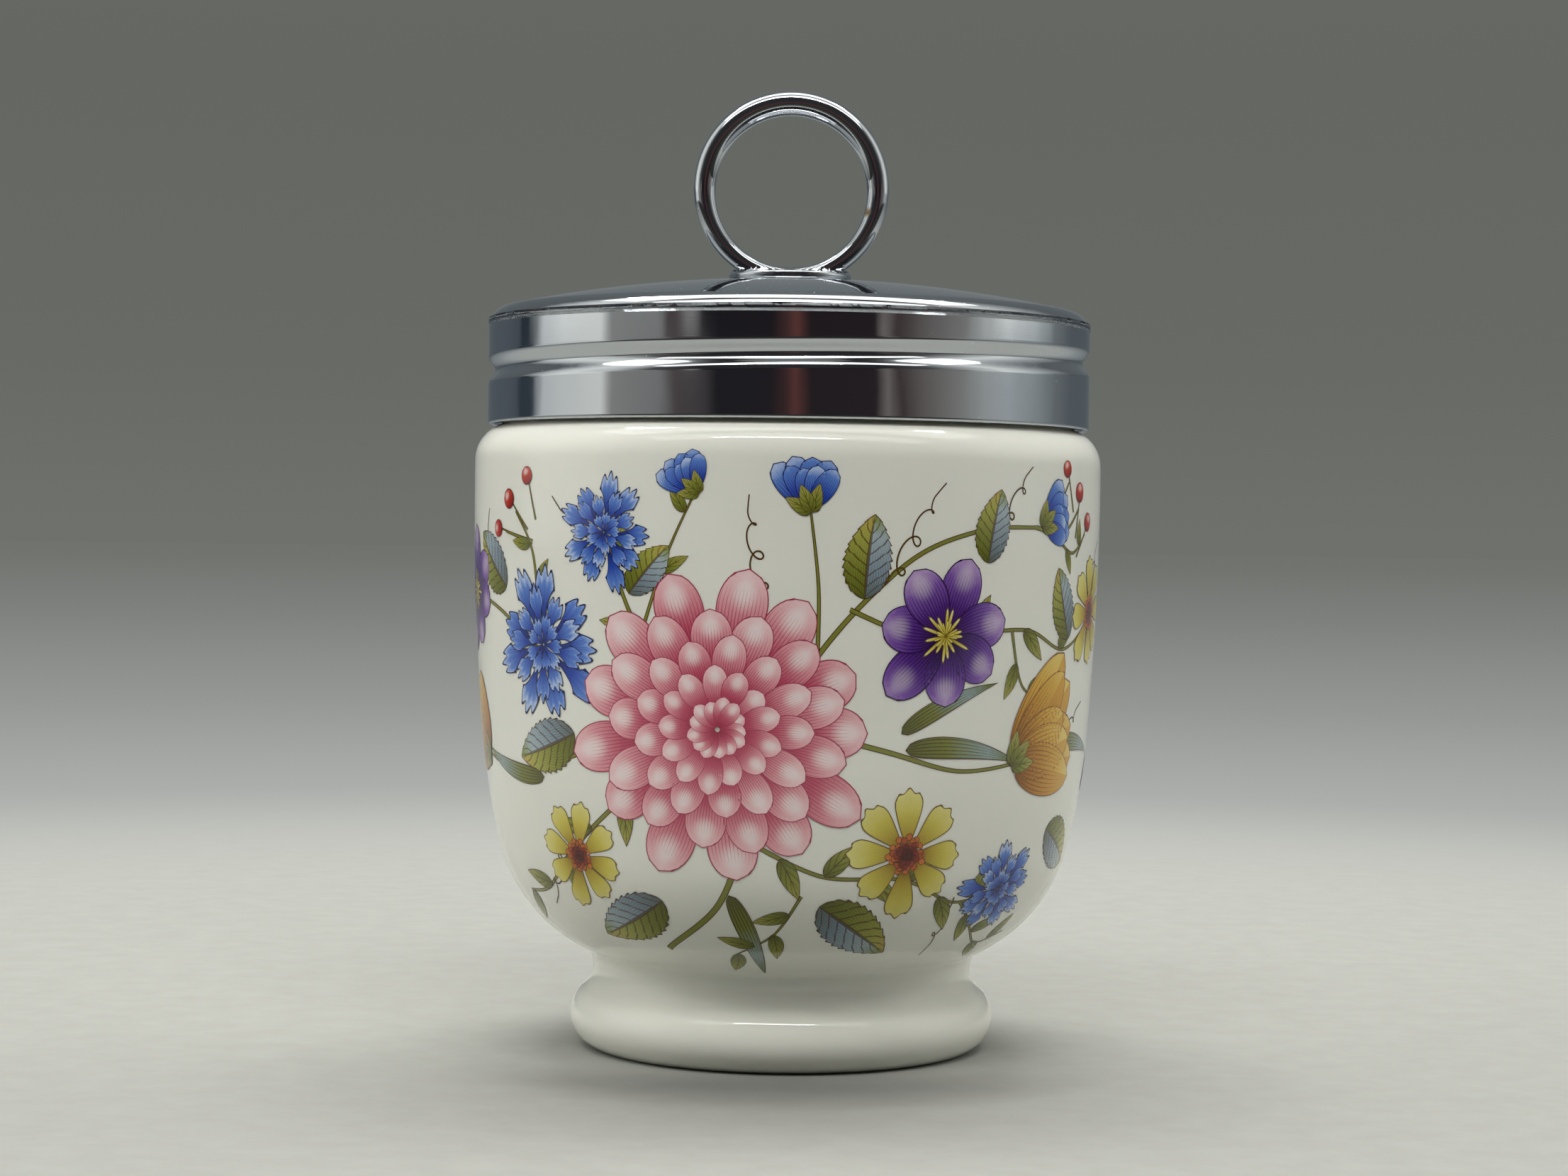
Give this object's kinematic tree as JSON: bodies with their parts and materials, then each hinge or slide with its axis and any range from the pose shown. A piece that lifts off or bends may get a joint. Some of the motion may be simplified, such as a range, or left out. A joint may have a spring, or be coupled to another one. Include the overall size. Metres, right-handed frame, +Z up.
{
  "type": "egg coddler",
  "caption": "Footed porcelain egg coddler with floral decoration and a plated screw lid that has a rolled thread and a finger ring.",
  "frame": {"origin": "centre of the foot on the table", "axes": "+Z up along the axis of cup and lid; the finger ring stands in the XZ plane and is seen face on from -Y; the lid unscrews turning positive about +Z"},
  "size_m": [0.065, 0.065, 0.0991],
  "materials": {
    "porcelain": "clear gloss glaze over warm white porcelain",
    "lid_plate": "polished plate, lightly scratched",
    "seal": "matt"
  },
  "bodies": {
    "cup": {"porcelain_cup": "porcelain"},
    "seal": {"lid_seal": "seal"},
    "lid": {"lid_shell": "lid_plate", "ring_boss": "lid_plate", "finger_ring": "lid_plate"}
  },
  "joints": [
    {"name": "lid_rise", "type": "slide", "parent": "cup", "child": "seal", "axis": [0, 0, 1], "range_m": [0, 0.015]},
    {"name": "lid_turn", "type": "hinge", "parent": "seal", "child": "lid", "pos_m": [0, 0, 0], "axis": [0, 0, 1], "range_deg": [0, 1800]}
  ],
  "couplings": [
    {"joint": "lid_rise", "follows": "lid_turn", "m_per_rad": 0.00047746}
  ]
}
